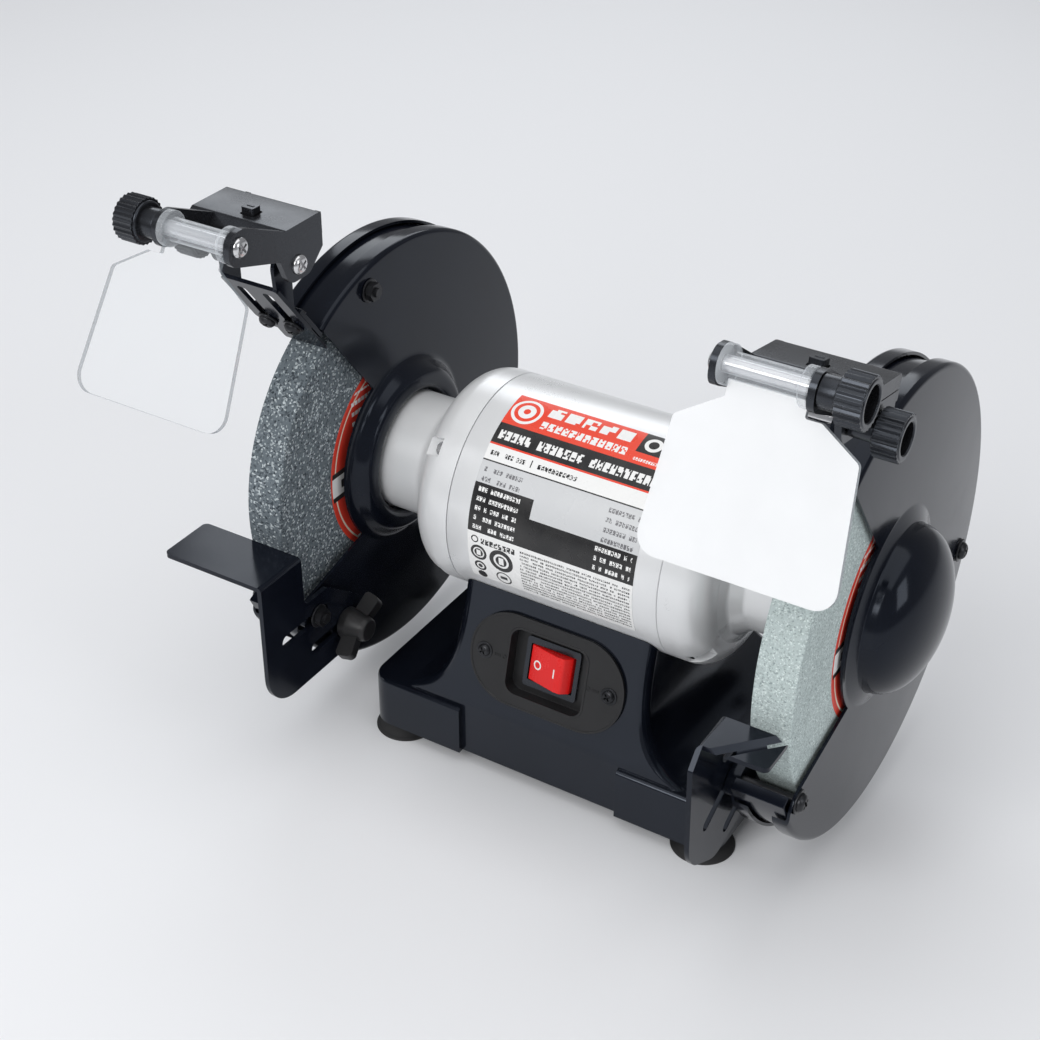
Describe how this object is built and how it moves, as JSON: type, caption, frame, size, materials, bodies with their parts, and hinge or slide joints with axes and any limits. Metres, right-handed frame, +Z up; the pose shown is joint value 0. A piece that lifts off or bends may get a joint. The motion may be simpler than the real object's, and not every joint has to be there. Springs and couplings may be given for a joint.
{
  "type": "bench grinder",
  "caption": "Double-ended bench grinder: a motor on a rubber-footed base turns guarded wheels, with sliding tool rests, spark deflectors, battery lights and tilting clear eye shields.",
  "frame": {"origin": "on the floor, under the middle of the whole machine's bounding box", "axes": "+X to the right along the shaft as seen from the front, +Y to the back, +Z up; the switch faces -Y"},
  "size_m": [0.3624, 0.2902, 0.3253],
  "materials": {
    "black_paint": "gloss black paint",
    "black_steel": "blackened steel",
    "silver_paint": "satin silver paint",
    "steel": "turned steel",
    "windings": "laminations and enamelled wire",
    "rubber": "moulded black rubber",
    "black_plastic": "moulded black plastic",
    "red_plastic": "gloss red plastic",
    "clear_plastic": "clear polycarbonate",
    "coarse_stone": "coarse grey abrasive",
    "fine_stone": "fine pale grey abrasive"
  },
  "bodies": {
    "frame": {"base_housing": "black_paint", "base_cover": "black_steel", "foot_front_left": "rubber", "foot_front_right": "rubber", "foot_rear_left": "rubber", "foot_rear_right": "rubber", "switch_plate": "black_plastic", "switch_body": "black_plastic", "run_capacitor": "steel", "cable_gland": "black_plastic", "motor_housing": "silver_paint", "stator_core": "windings", "end_bell_left": "silver_paint", "bearing_left": "steel", "inner_guard_left": "black_paint", "guard_band_left": "black_paint", "outer_cover_left": "black_paint", "cover_bolt_top_left": "black_steel", "cover_bolt_back_left": "black_steel", "cover_bolt_nose_left": "black_steel", "end_bell_right": "silver_paint", "bearing_right": "steel", "inner_guard_right": "black_paint", "guard_band_right": "black_paint", "outer_cover_right": "black_paint", "cover_bolt_top_right": "black_steel", "cover_bolt_back_right": "black_steel", "cover_bolt_nose_right": "black_steel"},
    "rotor": {"rotor_shaft": "steel", "rotor_core": "steel", "grinding_wheel_left": "coarse_stone", "inner_flange_left": "steel", "outer_flange_left": "steel", "arbor_nut_left": "steel", "grinding_wheel_right": "fine_stone", "inner_flange_right": "steel", "outer_flange_right": "steel", "arbor_nut_right": "steel"},
    "rocker": {"switch_rocker": "red_plastic"},
    "rest_left": {"tool_rest_left": "black_paint"},
    "wing_knob_left": {"rest_knob_left": "black_plastic"},
    "deflector_left": {"spark_deflector_left": "black_paint"},
    "bracket_left": {"shield_bracket_left": "black_paint"},
    "light_left": {"light_box_left": "black_plastic", "light_lens_left": "clear_plastic"},
    "button_left": {"light_button_left": "black_plastic"},
    "shield_left": {"eye_shield_left": "clear_plastic"},
    "shield_clamp_left": {"shield_knob_left": "black_plastic"},
    "pivot_clamp_left": {"pivot_knob_left": "black_plastic"},
    "rest_right": {"tool_rest_right": "black_paint"},
    "wing_knob_right": {"rest_knob_right": "black_plastic"},
    "deflector_right": {"spark_deflector_right": "black_paint"},
    "bracket_right": {"shield_bracket_right": "black_paint"},
    "light_right": {"light_box_right": "black_plastic", "light_lens_right": "clear_plastic"},
    "button_right": {"light_button_right": "black_plastic"},
    "shield_right": {"eye_shield_right": "clear_plastic"},
    "shield_clamp_right": {"shield_knob_right": "black_plastic"},
    "pivot_clamp_right": {"pivot_knob_right": "black_plastic"}
  },
  "joints": [
    {"name": "shaft_spin", "type": "hinge", "parent": "frame", "child": "rotor", "pos_m": [0, 0.027, 0.1382], "axis": [1, 0, 0], "continuous": true},
    {"name": "switch_rock", "type": "hinge", "parent": "frame", "child": "rocker", "pos_m": [0, -0.02128, 0.07161], "axis": [0, 0.2432, 0.97], "range_deg": [0, 26]},
    {"name": "rest_slide_left", "type": "slide", "parent": "frame", "child": "rest_left", "axis": [0, 1, 0], "range_m": [-0.0045, 0.0015]},
    {"name": "wing_knob_turn_left", "type": "hinge", "parent": "frame", "child": "wing_knob_left", "pos_m": [0, -0.04148, 0.06754], "axis": [1, 0, 0], "continuous": true},
    {"name": "deflector_slide_left", "type": "slide", "parent": "frame", "child": "deflector_left", "axis": [0, -0.6088, 0.7934], "range_m": [-0.0028, 0.0048]},
    {"name": "bracket_slide_left", "type": "slide", "parent": "frame", "child": "bracket_left", "axis": [0, -0.6088, 0.7934], "range_m": [-0.015, 0]},
    {"name": "light_tilt_left", "type": "hinge", "parent": "bracket_left", "child": "light_left", "pos_m": [0, -0.0634, 0.28311], "axis": [1, 0, 0], "range_deg": [-25, 25]},
    {"name": "button_press_left", "type": "slide", "parent": "light_left", "child": "button_left", "axis": [0, 0, -1], "range_m": [0, 0.0015], "stiffness_N_per_m": 400, "springref_m": -0.001},
    {"name": "shield_tilt_left", "type": "hinge", "parent": "light_left", "child": "shield_left", "pos_m": [0, -0.1034, 0.30711], "axis": [1, 0, 0], "range_deg": [-70, 30]},
    {"name": "shield_knob_turn_left", "type": "hinge", "parent": "light_left", "child": "shield_clamp_left", "pos_m": [0, -0.1034, 0.30711], "axis": [1, 0, 0], "continuous": true},
    {"name": "pivot_knob_turn_left", "type": "hinge", "parent": "light_left", "child": "pivot_clamp_left", "pos_m": [0, -0.0634, 0.28311], "axis": [1, 0, 0], "continuous": true},
    {"name": "rest_slide_right", "type": "slide", "parent": "frame", "child": "rest_right", "axis": [0, 0.8829, 0.4695], "range_m": [-0.0045, 0.0015]},
    {"name": "wing_knob_turn_right", "type": "hinge", "parent": "frame", "child": "wing_knob_right", "pos_m": [0, -0.04148, 0.06754], "axis": [1, 0, 0], "continuous": true},
    {"name": "deflector_slide_right", "type": "slide", "parent": "frame", "child": "deflector_right", "axis": [0, -0.6088, 0.7934], "range_m": [-0.0028, 0.0048]},
    {"name": "bracket_slide_right", "type": "slide", "parent": "frame", "child": "bracket_right", "axis": [0, -0.6088, 0.7934], "range_m": [-0.015, 0]},
    {"name": "light_tilt_right", "type": "hinge", "parent": "bracket_right", "child": "light_right", "pos_m": [0, -0.0634, 0.28311], "axis": [1, 0, 0], "range_deg": [-25, 25]},
    {"name": "button_press_right", "type": "slide", "parent": "light_right", "child": "button_right", "axis": [0, -0.1908, -0.9816], "range_m": [0, 0.0015], "stiffness_N_per_m": 400, "springref_m": -0.001},
    {"name": "shield_tilt_right", "type": "hinge", "parent": "light_right", "child": "shield_right", "pos_m": [0, -0.09809, 0.3143], "axis": [1, 0, 0], "range_deg": [-70, 20]},
    {"name": "shield_knob_turn_right", "type": "hinge", "parent": "light_right", "child": "shield_clamp_right", "pos_m": [0, -0.09809, 0.3143], "axis": [1, 0, 0], "continuous": true},
    {"name": "pivot_knob_turn_right", "type": "hinge", "parent": "light_right", "child": "pivot_clamp_right", "pos_m": [0, -0.0634, 0.28311], "axis": [1, 0, 0], "continuous": true}
  ]
}
